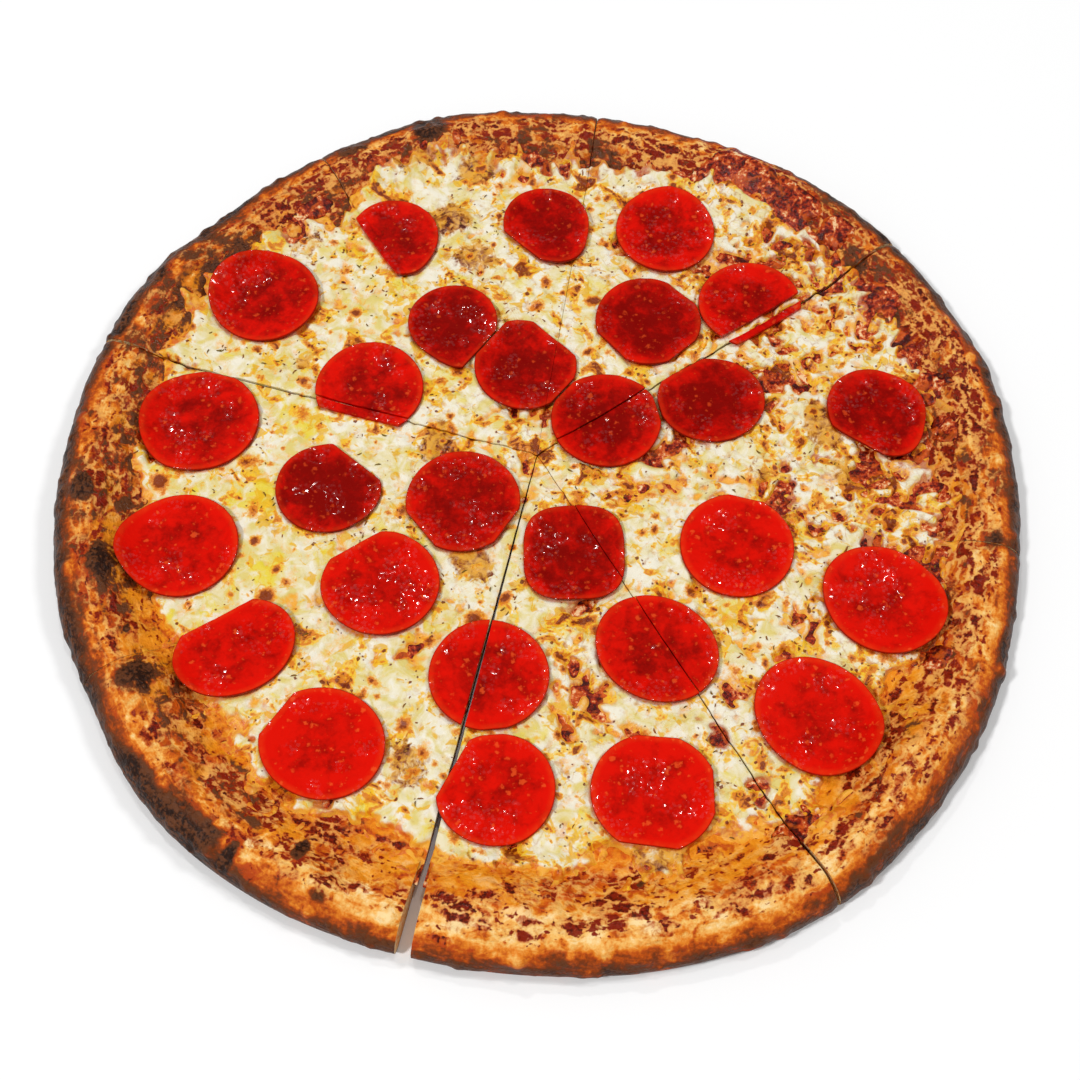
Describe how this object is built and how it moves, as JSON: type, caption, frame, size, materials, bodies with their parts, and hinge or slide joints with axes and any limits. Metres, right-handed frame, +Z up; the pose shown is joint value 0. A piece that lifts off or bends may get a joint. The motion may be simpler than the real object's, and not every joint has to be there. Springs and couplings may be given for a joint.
{
  "type": "pepperoni pizza",
  "caption": "Round baked pizza cut into slices that lie together: raised blistered rim, sauce, melted shredded cheese and pepperoni discs.",
  "frame": {"origin": "under the middle of the whole pizza, on the surface it lies on", "axes": "+Z up, -Y towards the near side, where the widest cut opens"},
  "size_m": [0.3962, 0.3976, 0.021],
  "materials": {
    "dough": "dry baked crust, golden with brown and charred blisters",
    "sauce": "baked tomato sauce, moist",
    "cheese": "melted shredded cheese, oily, toasted in spots",
    "pepperoni": "cured sausage, oily and speckled with fat"
  },
  "bodies": {
    "root": {"dough_1": "dough", "dough_2": "dough", "dough_3": "dough", "dough_4": "dough", "dough_5": "dough", "dough_6": "dough", "dough_7": "dough", "dough_8": "dough", "sauce_1": "sauce", "sauce_2": "sauce", "sauce_3": "sauce", "sauce_4": "sauce", "sauce_5": "sauce", "sauce_6": "sauce", "sauce_7": "sauce", "sauce_8": "sauce", "cheese_1": "cheese", "cheese_2": "cheese", "cheese_3": "cheese", "cheese_4": "cheese", "cheese_5": "cheese", "cheese_6": "cheese", "cheese_7": "cheese", "cheese_8": "cheese", "pepperoni_01_a": "pepperoni", "pepperoni_01_b": "pepperoni", "pepperoni_02": "pepperoni", "pepperoni_03": "pepperoni", "pepperoni_04_a": "pepperoni", "pepperoni_04_b": "pepperoni", "pepperoni_05": "pepperoni", "pepperoni_06": "pepperoni", "pepperoni_07": "pepperoni", "pepperoni_08_a": "pepperoni", "pepperoni_08_b": "pepperoni", "pepperoni_09_a": "pepperoni", "pepperoni_09_b": "pepperoni", "pepperoni_10": "pepperoni", "pepperoni_11_a": "pepperoni", "pepperoni_11_b": "pepperoni", "pepperoni_12": "pepperoni", "pepperoni_13": "pepperoni", "pepperoni_14": "pepperoni", "pepperoni_15_a": "pepperoni", "pepperoni_15_b": "pepperoni", "pepperoni_16_a": "pepperoni", "pepperoni_16_b": "pepperoni", "pepperoni_17": "pepperoni", "pepperoni_18": "pepperoni", "pepperoni_19": "pepperoni", "pepperoni_20": "pepperoni", "pepperoni_21": "pepperoni", "pepperoni_22": "pepperoni", "pepperoni_23_a": "pepperoni", "pepperoni_23_b": "pepperoni", "pepperoni_24_a": "pepperoni", "pepperoni_24_b": "pepperoni", "pepperoni_25": "pepperoni", "pepperoni_26": "pepperoni", "pepperoni_27": "pepperoni"}
  },
  "joints": []
}
